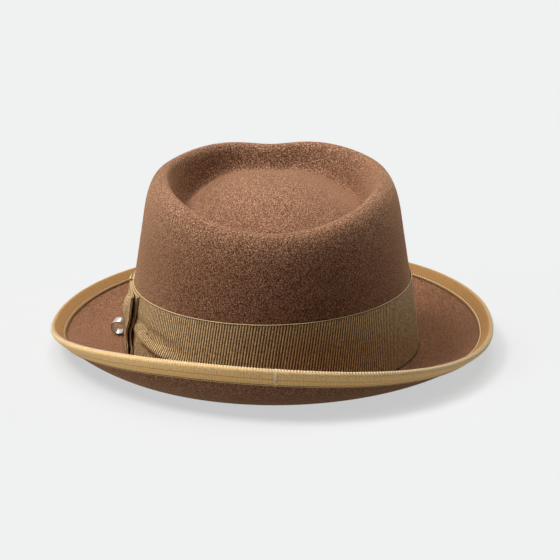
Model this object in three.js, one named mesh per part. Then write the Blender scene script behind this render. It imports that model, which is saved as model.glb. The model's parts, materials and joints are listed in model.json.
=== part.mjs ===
import * as THREE from 'three';

// A felt fedora with a curled, ribbon-bound brim and a rolled (telescope) crown.
// Millimetres. +Z is up, -Y is the wearer's front, +X is the wearer's left, where the bow sits.
// The shape is worked out about the centre of the head oval, with z = 0 on the brim's top
// surface where it meets the crown. The finished group is then moved so that the whole hat
// stands on z = 0, centred in X and Y.

// ---- driving dimensions ----------------------------------------------------------------

const AROUND = 48;                                   // facets round the head oval
const FELT = 2.4;                                    // thickness of the felt
const GAP = 0.35;                                    // air between touching pieces
const HEAD = { halfWidth: 88, halfLength: 104.5 };   // outside of the crown at its base

// Heights and insets are given at the side, the back and the front of the oval.
const CREST = { side: 105.2, back: 91.4, front: 108 };        // height of the crown's rolled rim
const CREST_INSET = { side: 22.5, back: 16, front: 19.7 };    // how far in from the base it lies
const GUTTER_STEP = { side: 10, back: 15, front: 14 };        // from the rim in to the gutter
const GUTTER_DROP = { side: 24, back: 15, front: 14 };        // from the rim down to the gutter
const NOTCH = { spread: 0.35, drop: 2.7, inward: 7.1 };       // front pinch: radians, mm, mm
const ROLL = { width: 12, height: 22.5 };                     // outer quarter of the rolled rim
const WALL_LEAN = { base: 2.5, shoulder: 4.3 };               // how the wall bows as it rises
const WALL_REACH = 0.35;                                      // curve handle, share of its height
const DOME = { top: 101.2, edge: 0.8, round: 1.5 };           // centre; slope ends at edge

const BRIM_WIDTH = { side: 47.2, back: 52.9, front: 57.5 };   // felt, along its surface
const BRIM_CURL = { side: 0.7, back: 1.375, front: 0.62 };    // slope at the edge, radians
const BRIM_CURL_BACK_LEFT = 0.316;                            // extra curl behind the left ear
const BRIM_CURL_LEFT = -0.124;                                // the left side lies a little lower
const BRIM_FLAT = 6.5;                                        // level strip before the curl
const BREAK_RADIUS = 1.2;                                     // fillet where wall meets brim
const EDGE_ROUND = 0.6;                                       // rounding of the felt's cut edge

const RIBBON = 0.45;                                          // thickness of grosgrain
const BINDING = { width: 8.5, seamIn: 7, fold: 1.3, puff: 0.1, gap: 0.6 };
const BAND = { bottom: 1, top: 41.7, lowerAtBow: 1.4 };
const THREAD = 0.22;                                          // half width of a sewing thread

const degrees = Math.PI / 180;
const BOW = { middle: -3.8 * degrees, halfSpan: 23.4 * degrees, bottom: 1.8, top: 38.6 };
const BOW_LEG = 0.3;                                          // ribbon pressed flat in the bow
const BOW_GAP = 0.15;                                         // air between the bow's layers
const BOW_BULGE = { reach: 3.6, height: 28, spread: 7.3 };    // the outer loop's puffed upper part
const BOW_FLARE = 1.6;                                        // outer loop's ends stand off more
const BOW_PINCH = 0.2;                                        // share of each loop held flat
const KNOT = { halfSpan: 3.2 * degrees, wrap: 0.4 };

const RING = { outer: 4.6, inner: 4, halfLength: 2.8, yaw: 14 * degrees, pitch: 12 * degrees };
const RING_ANGLE = -9.2 * degrees;                            // just in front of the knot
const RING_DROP = 6;                                          // ring centre below its tack
const RING_OUT = 5.2;                                         // ring centre out from its tack
const TACK_HEIGHT = 11.7;                                     // where the ring is sewn on
const CORD = 0.3;                                             // half thickness of the ring's thread

const SWEATBAND = { bottom: 3, top: 40, thick: 1 };
const REED = { radius: 0.7, height: 1.1, depth: 4.3 };
const TAPE = { top: 8, thick: 0.35 };
const LINING = { bottom: 9, top: 63, thick: 0.4, crown: 71 };
const PIPING = 0.8;
const SEAM_BOW = { halfWidth: 8, halfHeight: 3.2, height: 9, thick: 0.7 };

// ---- surfaces of the hat ---------------------------------------------------------------

function around(angle, sizes) {
  const across = Math.cos(angle) ** 2;
  const end = Math.sin(angle) > 0 ? sizes.back : sizes.front;
  return sizes.side * across + end * (1 - across);
}

function frontPinch(angle) {
  const away = Math.atan2(Math.cos(angle), -Math.sin(angle));
  return Math.exp(-((away / NOTCH.spread) ** 2));
}

// A point at the given distance outside the head oval, along the oval's own normal.
function offOval(angle, outward, z) {
  const c = Math.cos(angle);
  const s = Math.sin(angle);
  const normal = new THREE.Vector2(c / HEAD.halfWidth, s / HEAD.halfLength).normalize();
  return new THREE.Vector3(
    HEAD.halfWidth * c + normal.x * outward,
    HEAD.halfLength * s + normal.y * outward,
    z,
  );
}

// The crown's section at one angle, as (inset, height) curves: wall, rolled rim, gutter side.
function crownCurves(angle) {
  const pinch = frontPinch(angle);
  const inset = around(angle, CREST_INSET) + NOTCH.inward * pinch;
  const height = around(angle, CREST) - NOTCH.drop * pinch;
  const crest = new THREE.Vector2(inset, height);
  const shoulder = new THREE.Vector2(inset - ROLL.width, height - ROLL.height);
  const step = around(angle, GUTTER_STEP);
  const gutter = new THREE.Vector2(inset + step, height - around(angle, GUTTER_DROP));
  const reach = WALL_REACH * shoulder.y;
  const lean = new THREE.Vector2(WALL_LEAN.shoulder, reach);
  const swing = lean.clone().setLength(ROLL.height * 0.55);
  return {
    wall: new THREE.CubicBezierCurve(
      new THREE.Vector2(0, 0),
      new THREE.Vector2(WALL_LEAN.base, reach),
      shoulder.clone().sub(lean),
      shoulder,
    ),
    roll: new THREE.CubicBezierCurve(
      shoulder,
      shoulder.clone().add(swing),
      new THREE.Vector2(inset - 0.55 * ROLL.width, height),
      crest,
    ),
    gutter: new THREE.CubicBezierCurve(
      crest,
      new THREE.Vector2(inset + 0.55 * step, height),
      new THREE.Vector2(gutter.x - 0.5 * step, gutter.y),
      gutter,
    ),
  };
}

// How far the wall has leant in at a height.
function wallInset(curves, z) {
  let low = 0;
  let high = 1;
  for (let turn = 0; turn < 24; turn += 1) {
    const middle = (low + high) / 2;
    if (curves.wall.getPoint(middle).y < z) low = middle;
    else high = middle;
  }
  return curves.wall.getPoint(low).x;
}

// A point standing off the crown's wall: proud is positive outside and negative inside.
function offWall(angle, z, proud) {
  return offOval(angle, proud - wallInset(crownCurves(angle), z), z);
}

// A point of the brim: along is measured from the break, lift is above the top surface.
function offBrim(angle, along, lift) {
  const s = Math.sin(angle);
  const backLeft = s > 0 ? BRIM_CURL_BACK_LEFT * Math.sin(2 * angle) : 0;
  const slope = around(angle, BRIM_CURL) + backLeft + BRIM_CURL_LEFT * Math.cos(angle);
  const bend = slope / (around(angle, BRIM_WIDTH) - BRIM_FLAT);
  const turn = bend * Math.max(along - BRIM_FLAT, 0);
  const outward = Math.min(along, BRIM_FLAT) + Math.sin(turn) / bend - lift * Math.sin(turn);
  return offOval(angle, outward, (1 - Math.cos(turn)) / bend + lift * Math.cos(turn));
}

// Points of a curve from its end back to its start, each moved inwards by depth.
function insetPoints(curve, pieces, depth) {
  const points = [];
  for (let step = pieces; step >= 0; step -= 1) {
    const tangent = curve.getTangent(step / pieces);
    const inward = new THREE.Vector2(tangent.y, -tangent.x);
    points.push(curve.getPoint(step / pieces).addScaledVector(inward, depth));
  }
  return points;
}

// Height of the dome, a share of the way from the gutter in to the crown's centre.
function domeHeight(share, rimHeight, depth) {
  const left = 1 - Math.min(share / DOME.edge, 1);
  const rise = 1 - left ** DOME.round;
  return rimHeight + (DOME.top - depth - rimHeight) * rise;
}

// The crown's section from its centre out to the base, moved inwards by depth.
function crownRows(angle, depth) {
  const curves = crownCurves(angle);
  const section = [
    ...insetPoints(curves.gutter, 4, depth),
    ...insetPoints(curves.roll, 4, depth).slice(1),
    ...insetPoints(curves.wall, 4, depth).slice(1, -1),
  ];
  const rows = section.map((point) => offOval(angle, -point.x, point.y));
  const rim = rows[0];
  const run = Math.hypot(rim.x, rim.y);
  const dome = [0.8, 0.58, 0.4, 0.2].map((share) => {
    const step = 0.01;
    const rise = domeHeight(share + step, rim.z, depth) - domeHeight(share - step, rim.z, depth);
    const sink = depth * (Math.hypot(1, rise / (2 * step * run)) - 1);
    const height = domeHeight(share, rim.z, depth) - sink;
    return new THREE.Vector3(rim.x * (1 - share), rim.y * (1 - share), height);
  });
  return [...dome, ...rows];
}

// ---- closed meshes from rows of points -------------------------------------------------

function angleAt(index) {
  return (2 * Math.PI * index) / AROUND;
}

function bodyGeometry(points, faces) {
  const position = points.flatMap((point) => [point.x, point.y, point.z]);
  const geometry = new THREE.BufferGeometry();
  geometry.setAttribute('position', new THREE.Float32BufferAttribute(position, 3));
  const volume = faces.reduce((sum, [a, b, c]) => {
    const cross = points[b].clone().cross(points[c]);
    return sum + points[a].dot(cross);
  }, 0);
  const outward = volume > 0 ? faces : faces.map(([a, b, c]) => [a, c, b]);
  geometry.setIndex(outward.flat());
  geometry.computeVertexNormals();
  return geometry;
}

// Quads between neighbouring rows; each row is a closed ring of points.
function ringFaces(rowCount, size, closed) {
  const faces = [];
  const spans = closed ? rowCount : rowCount - 1;
  for (let row = 0; row < spans; row += 1) {
    const next = ((row + 1) % rowCount) * size;
    for (let step = 0; step < size; step += 1) {
      const here = row * size + step;
      const beside = row * size + ((step + 1) % size);
      const above = next + step;
      faces.push([here, beside, above], [beside, next + ((step + 1) % size), above]);
    }
  }
  return faces;
}

// A ring-shaped solid: section(angle) gives the same closed outline at each angle.
function ringSolid(section) {
  const rows = Array.from({ length: AROUND }, (_, index) => section(angleAt(index)));
  return bodyGeometry(rows.flat(), ringFaces(AROUND, rows[0].length, true));
}

// A shell like an upturned bowl: section(angle) runs from pole to pole, poles left out.
function bowlSolid(section, topPole, lowPole) {
  const columns = Array.from({ length: AROUND }, (_, index) => section(angleAt(index)));
  const rowCount = columns[0].length;
  const points = [];
  for (let row = 0; row < rowCount; row += 1) {
    columns.forEach((column) => points.push(column[row]));
  }
  const faces = ringFaces(rowCount, AROUND, false);
  const last = (rowCount - 1) * AROUND;
  const top = points.push(topPole) - 1;
  const low = points.push(lowPole) - 1;
  for (let step = 0; step < AROUND; step += 1) {
    const beside = (step + 1) % AROUND;
    faces.push([top, beside, step], [low, last + step, last + beside]);
  }
  return bodyGeometry(points, faces);
}

// A bar with flat ends: each row is an outline whose two halves face each other.
function barSolid(rows) {
  const size = rows[0].length;
  const faces = ringFaces(rows.length, size, false);
  const last = (rows.length - 1) * size;
  stripTriangles(size).forEach(([a, b, c]) => {
    faces.push([a, c, b], [last + a, last + b, last + c]);
  });
  return bodyGeometry(rows.flat(), faces);
}

// Triangles across an outline whose first half faces its second half, point against point.
function stripTriangles(size) {
  const triangles = [];
  for (let step = 0; step < size / 2 - 1; step += 1) {
    const facing = size - 1 - step;
    triangles.push([step, step + 1, facing], [step + 1, facing - 1, facing]);
  }
  return triangles;
}

// A closed thread: a thin square section carried along a closed path of points.
function threadSolid(path, across, half) {
  const rows = path.map((point, index) => {
    const next = path[(index + 1) % path.length];
    const last = path[(index + path.length - 1) % path.length];
    const along = next.clone().sub(last).normalize();
    const side = across.clone().addScaledVector(along, -across.dot(along)).setLength(half);
    const up = along.clone().cross(side);
    return [
      point.clone().add(side),
      point.clone().add(up),
      point.clone().sub(side),
      point.clone().sub(up),
    ];
  });
  return bodyGeometry(rows.flat(), ringFaces(rows.length, 4, true));
}

// ---- felt ------------------------------------------------------------------------------

function feltSection(angle) {
  const width = around(angle, BRIM_WIDTH);
  const reaches = [0.2, 0.4, 0.6, 0.8, 1].map((share) => BRIM_FLAT + (width - BRIM_FLAT) * share);
  const brimTop = [BREAK_RADIUS, BRIM_FLAT, ...reaches].map((along) => offBrim(angle, along, 0));
  const edge = [-EDGE_ROUND, EDGE_ROUND - FELT].map((lift) => (
    offBrim(angle, width + EDGE_ROUND, lift)
  ));
  const brimUnder = [...reaches.reverse(), BRIM_FLAT, BREAK_RADIUS].map((along) => (
    offBrim(angle, along, -FELT)
  ));
  const corner = Math.SQRT1_2;
  const outerBreak = [
    offOval(angle, 0, BREAK_RADIUS),
    offOval(angle, BREAK_RADIUS * (1 - corner), BREAK_RADIUS * (1 - corner)),
  ];
  const innerRadius = BREAK_RADIUS + FELT;
  const innerBreak = [
    offOval(angle, BREAK_RADIUS - innerRadius * corner, BREAK_RADIUS - innerRadius * corner),
    offOval(angle, -FELT, BREAK_RADIUS),
  ];
  return [
    ...crownRows(angle, 0),
    ...outerBreak,
    ...brimTop,
    ...edge,
    ...brimUnder,
    ...innerBreak,
    ...crownRows(angle, FELT).reverse(),
  ];
}

function feltBody() {
  return bowlSolid(
    feltSection,
    new THREE.Vector3(0, 0, DOME.top),
    new THREE.Vector3(0, 0, DOME.top - FELT),
  );
}

// ---- brim binding ----------------------------------------------------------------------

function bindingSection(angle) {
  const width = around(angle, BRIM_WIDTH);
  const near = BINDING.gap;
  const far = BINDING.gap + RIBBON;
  const nose = EDGE_ROUND + BINDING.fold;
  const outline = [
    [-BINDING.width, far],
    [-1.5, far + BINDING.puff],
    [nose - 0.5, far - 0.3],
    [nose, -FELT / 2],
    [nose - 0.5, 0.3 - FELT - far],
    [-1.5, -FELT - far - BINDING.puff],
    [-BINDING.width, -FELT - far],
    [-BINDING.width, -FELT - near],
    [0.2, -FELT - near],
    [nose - 0.5, -FELT / 2 - 0.6],
    [nose - 0.5, -FELT / 2 + 0.6],
    [0.2, near],
    [-BINDING.width, near],
  ];
  return outline.map(([along, lift]) => offBrim(angle, width + along, lift));
}

// The seam's thread on one face of the brim, one ring of lockstitch.
function bindingStitch(lift) {
  return ringSolid((angle) => {
    const along = around(angle, BRIM_WIDTH) - BINDING.seamIn;
    return [
      offBrim(angle, along - THREAD, lift),
      offBrim(angle, along, lift + THREAD),
      offBrim(angle, along + THREAD, lift),
      offBrim(angle, along, lift - THREAD),
    ];
  });
}

// A zigzag of thread from start to end as one closed loop, there and back a thread apart.
function zigzagLoop(pointAt, turns) {
  const there = Array.from({ length: turns + 1 }, (_, turn) => pointAt(turn / turns, turn % 2, 0));
  const back = Array.from({ length: turns + 1 }, (_, turn) => pointAt(turn / turns, turn % 2, 1));
  return [...there, ...back.reverse()];
}

// The binding's ends overlap at the centre of the back, tacked across with a zigzag.
function bindingJoinTack() {
  const lift = -FELT - BINDING.gap - RIBBON - BINDING.puff - GAP - THREAD;
  const path = zigzagLoop((share, side, lane) => {
    const angle = Math.PI / 2 + (side - 0.5) * 0.022 + lane * 0.012;
    const along = around(angle, BRIM_WIDTH) - BINDING.seamIn + 0.9 + share * (BINDING.seamIn - 2);
    return offBrim(angle, along, lift);
  }, 7);
  return threadSolid(path, new THREE.Vector3(1, 0, 0), THREAD);
}

// ---- hat band and bow ------------------------------------------------------------------

function bandSection(angle) {
  const top = BAND.top - BAND.lowerAtBow * Math.cos(angle);
  const heights = [0, 1 / 3, 2 / 3, 1].map((share) => BAND.bottom + share * (top - BAND.bottom));
  const outer = heights.map((z) => offWall(angle, z, GAP + RIBBON));
  const inner = heights.reverse().map((z) => offWall(angle, z, GAP));
  return [...outer, ...inner];
}

function bowBulge(share, z) {
  const away = Math.abs(z - BOW_BULGE.height) / BOW_BULGE.spread;
  const pastKnot = Math.max(Math.abs(share) - BOW_PINCH, 0) / (1 - BOW_PINCH);
  return BOW_BULGE.reach * Math.exp(-(away ** 3)) * Math.sin(Math.PI * pastKnot) ** 2;
}

// A flattened loop of ribbon on the wall: out along one leg, folded, back along the other.
function ribbonLoop(lowLeg, highLeg, halfSpan, bulge) {
  const steps = 14;
  const shares = bulge ? [0, 0.44, 0.56, 0.68, 0.8, 0.9, 1] : [0, 0.5, 1];
  const heights = shares.map((share) => BOW.bottom + share * (BOW.top - BOW.bottom));
  const stations = [];
  for (let step = 0; step <= steps; step += 1) {
    stations.push({ share: (2 * step) / steps - 1, leg: 1 });
  }
  for (let step = steps; step >= 0; step -= 1) {
    stations.push({ share: (2 * step) / steps - 1, leg: 0 });
  }
  const foldBack = 0.5 * (highLeg - lowLeg + BOW_LEG) / HEAD.halfLength;
  const rows = stations.map(({ share, leg }) => {
    const atFold = Math.abs(share) === 1;
    const reachIn = (span) => BOW.middle + share * halfSpan + Math.sign(share) * span;
    const outerAngle = atFold ? reachIn(foldBack) : reachIn(0);
    const innerAngle = atFold ? reachIn(foldBack - BOW_LEG / HEAD.halfLength) : reachIn(0);
    const flare = bulge * BOW_FLARE * share ** 6;
    const lift = (z) => flare + (leg ? highLeg + bulge * bowBulge(share, z) : lowLeg);
    const middle = (z) => (lift(z) + flare + (leg ? lowLeg : highLeg)) / 2;
    const faceOut = (z) => (atFold ? middle(z) + (leg ? 0.55 : -0.55) * (highLeg - lowLeg) / 2
      : lift(z) + (leg ? 0.5 : -0.5) * BOW_LEG);
    const faceIn = (z) => (atFold ? middle(z) + (leg ? 0.18 : -0.18) * (highLeg - lowLeg) / 2
      : lift(z) + (leg ? -0.5 : 0.5) * BOW_LEG);
    return [
      ...heights.map((z) => offWall(outerAngle, z, faceOut(z))),
      ...[...heights].reverse().map((z) => offWall(innerAngle, z, faceIn(z))),
    ];
  });
  return bodyGeometry(rows.flat(), ringFaces(rows.length, rows[0].length, true));
}

const BAND_FACE = GAP + RIBBON;
const INNER_LOW = BAND_FACE + BOW_GAP + BOW_LEG / 2;
const INNER_HIGH = INNER_LOW + BOW_LEG + BOW_GAP;
const OUTER_LOW = INNER_HIGH + BOW_LEG + BOW_GAP;
const OUTER_HIGH = OUTER_LOW + BOW_LEG + BOW_GAP;
const BOW_FACE = OUTER_HIGH + BOW_LEG / 2;
const KNOT_FACE = BOW_FACE + BOW_GAP + KNOT.wrap;

// The knot is a strip that hugs the middle of both loops and turns in over their edges.
function bowKnot() {
  const steps = 4;
  const rows = Array.from({ length: steps + 1 }, (_, step) => {
    const angle = BOW.middle + KNOT.halfSpan * ((2 * step) / steps - 1);
    const inside = KNOT_FACE - KNOT.wrap;
    const low = BOW.bottom - GAP;
    const high = BOW.top + GAP;
    const tuck = BAND_FACE + BOW_GAP;
    return [
      offWall(angle, low - KNOT.wrap, tuck),
      offWall(angle, low - KNOT.wrap, KNOT_FACE),
      offWall(angle, (low + high) / 2, KNOT_FACE),
      offWall(angle, high + KNOT.wrap, KNOT_FACE),
      offWall(angle, high + KNOT.wrap, tuck),
      offWall(angle, high, tuck),
      offWall(angle, high, inside),
      offWall(angle, (low + high) / 2, inside),
      offWall(angle, low, inside),
      offWall(angle, low, tuck),
    ];
  });
  return barSolid(rows);
}

// ---- ring beside the knot --------------------------------------------------------------

// The ring hangs in front of the knot, its axis close to the direction of the band.
function ringFrame() {
  const tack = offWall(RING_ANGLE, TACK_HEIGHT, BOW_FACE + GAP + CORD);
  const centre = tack.clone().add(new THREE.Vector3(RING_OUT, 0, -RING_DROP));
  const level = Math.cos(RING.pitch);
  const axis = new THREE.Vector3(
    -Math.sin(RING.yaw) * level,
    -Math.cos(RING.yaw) * level,
    Math.sin(RING.pitch),
  );
  const towardsTack = tack.clone().sub(centre);
  towardsTack.addScaledVector(axis, -towardsTack.dot(axis));
  return { tack, centre, axis, reach: towardsTack.length(), radial: towardsTack.normalize() };
}

function knotRing() {
  const { centre, axis, radial } = ringFrame();
  const other = axis.clone().cross(radial);
  const steps = 36;
  const rows = Array.from({ length: steps }, (_, step) => {
    const turn = (2 * Math.PI * step) / steps;
    const spoke = radial.clone().multiplyScalar(Math.cos(turn));
    spoke.addScaledVector(other, Math.sin(turn));
    const corner = (radius, along) => (
      centre.clone().addScaledVector(spoke, radius).addScaledVector(axis, along)
    );
    return [
      corner(RING.outer, -RING.halfLength),
      corner(RING.outer, RING.halfLength),
      corner(RING.inner, RING.halfLength),
      corner(RING.inner, -RING.halfLength),
    ];
  });
  return bodyGeometry(rows.flat(), ringFaces(steps, 4, true));
}

// The thread that holds the ring: a flat loop round the ring's wall, up to its tack.
function ringThreadLoop() {
  const { centre, axis, radial, reach } = ringFrame();
  const near = RING.inner - GAP - CORD;
  const half = RING.halfLength + GAP + CORD;
  const middle = (near + reach) / 2;
  const height = (reach - near) / 2;
  const steps = 20;
  const path = Array.from({ length: steps }, (_, step) => {
    const turn = (2 * Math.PI * step) / steps;
    const c = Math.cos(turn);
    const s = Math.sin(turn);
    const along = half * Math.sign(c) * Math.abs(c) ** 0.4;
    const outward = middle + height * Math.sign(s) * Math.abs(s) ** 0.4;
    return centre.clone().addScaledVector(radial, outward).addScaledVector(axis, along);
  });
  return threadSolid(path, axis.clone().cross(radial), CORD);
}

// ---- inside of the hat -----------------------------------------------------------------

const SWEAT_BACK = FELT + GAP + LINING.thick + 2 * GAP;
const SWEAT_FACE = SWEAT_BACK + SWEATBAND.thick;

function shellSection(bottom, top, nearDepth, farDepth) {
  return (angle) => {
    const heights = [0, 0.5, 1].map((share) => bottom + share * (top - bottom));
    const outer = heights.map((z) => offWall(angle, z, -nearDepth));
    const inner = heights.reverse().map((z) => offWall(angle, z, -farDepth));
    return [...outer, ...inner];
  };
}

function sweatband() {
  return ringSolid(shellSection(SWEATBAND.bottom, SWEATBAND.top, SWEAT_BACK, SWEAT_FACE));
}

function roundRing(z, depth, radius, sides) {
  return ringSolid((angle) => Array.from({ length: sides }, (_, side) => {
    const turn = (2 * Math.PI * side) / sides;
    const across = radius * Math.cos(turn);
    return offWall(angle, z, across - depth).setZ(z + radius * Math.sin(turn));
  }));
}

// Cloth tape folded under the reed; its outer leg is sewn to the felt.
function reedTape() {
  const wrap = REED.radius + GAP;
  const outerLeg = FELT + GAP;
  return ringSolid((angle) => [
    offWall(angle, TAPE.top, -outerLeg),
    offWall(angle, REED.height - 0.3, -outerLeg),
    offWall(angle, REED.height - wrap - TAPE.thick, 0.4 - REED.depth),
    offWall(angle, REED.height - wrap - TAPE.thick, -0.4 - REED.depth),
    offWall(angle, REED.height - 0.3, -REED.depth - wrap - TAPE.thick),
    offWall(angle, REED.height + 1, -REED.depth - wrap - TAPE.thick),
    offWall(angle, REED.height + 1, -REED.depth - wrap),
    offWall(angle, REED.height - 0.3, -REED.depth - wrap),
    offWall(angle, REED.height - wrap, -REED.depth),
    offWall(angle, REED.height - 0.3, -outerLeg - TAPE.thick),
    offWall(angle, TAPE.top, -outerLeg - TAPE.thick),
  ]);
}

// The leather's two ends meet at the back of the head, joined by a zigzag of thread.
function sweatbandSeam() {
  const path = zigzagLoop((share, side, lane) => {
    const angle = Math.PI / 2 + (side - 0.5) * 0.03 + lane * 0.012;
    const z = 15 + share * (SWEATBAND.top - 18);
    return offWall(angle, z, -SWEAT_FACE - GAP - THREAD);
  }, 11);
  return threadSolid(path, new THREE.Vector3(1, 0, 0), THREAD);
}

// A small flat ribbon bow that covers the seam's foot, pinched in its middle.
function seamBow() {
  const shares = [-1, -0.5, -0.12, 0.12, 0.5, 1];
  const rows = shares.map((share) => {
    const angle = Math.PI / 2 - (share * SEAM_BOW.halfWidth) / HEAD.halfWidth;
    const pinch = 0.4 + 0.6 * Math.min(Math.abs(share) * 2, 1);
    const low = SEAM_BOW.height - SEAM_BOW.halfHeight * pinch;
    const high = SEAM_BOW.height + SEAM_BOW.halfHeight * pinch;
    const near = -SWEAT_FACE - GAP;
    const far = near - SEAM_BOW.thick;
    return [
      offWall(angle, low, near),
      offWall(angle, high, near),
      offWall(angle, high, far),
      offWall(angle, low, far),
    ];
  });
  return barSolid(rows);
}

function liningTip() {
  const edgeHeight = LINING.top + GAP + PIPING;
  const rimDepth = FELT + GAP + 2 * PIPING + GAP;
  const sheet = (angle, drop) => [0.3, 0.6, 0.85, 1].map((share) => {
    const edge = offWall(angle, edgeHeight, -rimDepth);
    const z = edgeHeight + (LINING.crown - edgeHeight) * (1 - share * share) - drop;
    return new THREE.Vector3(edge.x * share, edge.y * share, z);
  });
  return bowlSolid(
    (angle) => [...sheet(angle, 0), ...sheet(angle, LINING.thick).reverse()],
    new THREE.Vector3(0, 0, LINING.crown),
    new THREE.Vector3(0, 0, LINING.crown - LINING.thick),
  );
}

// ---- assembly --------------------------------------------------------------------------

const finishes = {
  felt: { color: 0x704d3a, roughness: 0.95, metalness: 0 },
  ribbon: { color: 0x6b513a, roughness: 0.8, metalness: 0 },
  binding: { color: 0xb28f5d, roughness: 0.75, metalness: 0 },
  thread: { color: 0xc9a873, roughness: 0.7, metalness: 0 },
  silver: { color: 0xc8c9cb, roughness: 0.2, metalness: 1 },
  leather: { color: 0x5b3a26, roughness: 0.6, metalness: 0 },
  reed: { color: 0xd8d4c8, roughness: 0.5, metalness: 0 },
  lining: { color: 0x8d7457, roughness: 0.4, metalness: 0 },
};

function named(name, geometry, finish) {
  const mesh = new THREE.Mesh(geometry, new THREE.MeshStandardMaterial(finishes[finish]));
  mesh.name = name;
  return mesh;
}

const stitchLift = BINDING.gap + RIBBON + BINDING.puff + GAP + THREAD;
const crownGroup = new THREE.Group();
crownGroup.add(
  named('felt_body', feltBody(), 'felt'),
  named('brim_binding', ringSolid(bindingSection), 'binding'),
  named('binding_stitch_upper', bindingStitch(stitchLift), 'thread'),
  named('binding_stitch_under', bindingStitch(-FELT - stitchLift), 'thread'),
  named('binding_join_tack', bindingJoinTack(), 'thread'),
);

const bandGroup = new THREE.Group();
bandGroup.add(
  named('hat_band', ringSolid(bandSection), 'ribbon'),
  named('bow_inner_loop', ribbonLoop(INNER_LOW, INNER_HIGH, BOW.halfSpan, 0), 'ribbon'),
  named('bow_outer_loop', ribbonLoop(OUTER_LOW, OUTER_HIGH, BOW.halfSpan * 0.97, 1), 'ribbon'),
  named('bow_knot', bowKnot(), 'ribbon'),
  named('knot_ring', knotRing(), 'silver'),
  named('ring_thread_loop', ringThreadLoop(), 'thread'),
);

const insideGroup = new THREE.Group();
const leatherSeam = roundRing(SWEATBAND.bottom + 1.4, SWEAT_FACE + GAP + THREAD, THREAD, 4);
const pipingHeight = LINING.top + GAP + PIPING;
insideGroup.add(
  named('sweatband', sweatband(), 'leather'),
  named('sweatband_reed', roundRing(REED.height, REED.depth, REED.radius, 5), 'reed'),
  named('reed_tape', reedTape(), 'lining'),
  named('sweatband_stitching', leatherSeam, 'thread'),
  named('sweatband_seam', sweatbandSeam(), 'thread'),
  named('sweatband_seam_bow', seamBow(), 'ribbon'),
  named(
    'lining_side',
    ringSolid(shellSection(LINING.bottom, LINING.top, FELT + GAP, FELT + GAP + LINING.thick)),
    'lining',
  ),
  named('lining_tip', liningTip(), 'lining'),
  named('lining_piping', roundRing(pipingHeight, FELT + GAP + PIPING, PIPING, 5), 'ribbon'),
);

const hat = new THREE.Group();
hat.add(crownGroup, bandGroup, insideGroup);
const box = new THREE.Box3().setFromObject(hat);
const middle = box.getCenter(new THREE.Vector3());
hat.position.set(-middle.x, -middle.y, -box.min.z);

export default hat;
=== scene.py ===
import json
import math

import bpy
import numpy as np
from mathutils import Matrix, Vector


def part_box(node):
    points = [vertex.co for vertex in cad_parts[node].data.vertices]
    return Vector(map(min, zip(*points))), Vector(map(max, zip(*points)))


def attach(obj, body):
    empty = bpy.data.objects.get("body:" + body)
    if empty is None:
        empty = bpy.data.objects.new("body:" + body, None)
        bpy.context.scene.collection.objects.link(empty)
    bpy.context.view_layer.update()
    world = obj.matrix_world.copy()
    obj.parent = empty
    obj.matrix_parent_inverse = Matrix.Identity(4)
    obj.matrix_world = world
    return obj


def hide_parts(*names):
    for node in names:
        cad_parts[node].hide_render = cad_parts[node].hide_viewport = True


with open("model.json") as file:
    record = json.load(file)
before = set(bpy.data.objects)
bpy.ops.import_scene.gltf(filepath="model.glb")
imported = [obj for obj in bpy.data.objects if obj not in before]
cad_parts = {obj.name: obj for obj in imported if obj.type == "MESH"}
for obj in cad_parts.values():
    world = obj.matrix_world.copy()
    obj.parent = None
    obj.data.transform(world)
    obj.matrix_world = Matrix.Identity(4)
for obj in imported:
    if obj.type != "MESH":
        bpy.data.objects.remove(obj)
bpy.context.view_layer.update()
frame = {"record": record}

# ---- driving dimensions, in millimetres ----
# +X is the wearer's left, where the bow is, -Y the wearer's front. Shapes are worked out
# about the head oval, with z = 0 on the brim's top surface where the crown meets it.
# Sizes with three numbers are for the side, the back and the front of the oval.

MM = 0.001
FELT = 2.4
HALF_WIDTH, HALF_LENGTH = 88.0, 104.5
CREST = (105.2, 91.4, 108.0)
CREST_INSET = (22.5, 16.0, 19.7)
GUTTER_STEP = (10.0, 15.0, 14.0)
GUTTER_DROP = (24.0, 15.0, 14.0)
NOTCH_SPREAD, NOTCH_DROP, NOTCH_INWARD = 0.35, 2.7, 7.1
ROLL_WIDTH, ROLL_HEIGHT = 12.0, 22.5
LEAN_BASE, LEAN_SHOULDER, WALL_REACH = 2.5, 4.3, 0.35
HANDLE = 0.55  # share of a curve's size that makes a bezier handle draw it nearly round
DOME_TOP, DOME_EDGE, DOME_ROUND = 101.2, 0.8, 1.5
BRIM_WIDTH = (47.2, 52.9, 57.5)
BRIM_CURL = (0.7, 1.375, 0.62)
CURL_BACK_LEFT, CURL_LEFT = 0.316, -0.124
BRIM_FLAT = 6.5
BREAK_RADIUS = 1.2
EDGE_BULGE, FELT_SWAY = 0.75, 0.35

BAND_TOP, BAND_LOWER_AT_BOW = 41.7, 1.4
BINDING_WIDTH, SEAM_IN = 8.5, 7.0
BOW_MIDDLE = math.radians(-3.8)
BOW_REACH = 42.3
BULGE_REACH, BULGE_HEIGHT, BULGE_SPREAD = 3.6, 28.0, 7.3
BOW_BOTTOM, BOW_TOP = 1.4, 39.0
KNOT_REACH = 5.8
BOW_HALF_THICK, KNOT_HALF_THICK = 0.16, 0.15

left, right = (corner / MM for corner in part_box("sweatband"))
CENTRE = ((left.x + right.x) / 2, (left.y + right.y) / 2)
BRIM_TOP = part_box("felt_body")[0].z / MM + FELT


# ---- camera, lights and floor ----

CAMERA_DISTANCE = 1800.0
CAMERA_RISE, CAMERA_TURN, CAMERA_ROLL = 15.47, 0.57, -0.19
FOCAL_LENGTH = 191.4
AIM_RIGHT, AIM_DOWN = 4.4, 10.6
LOOK_HEIGHT = 50.0


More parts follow.
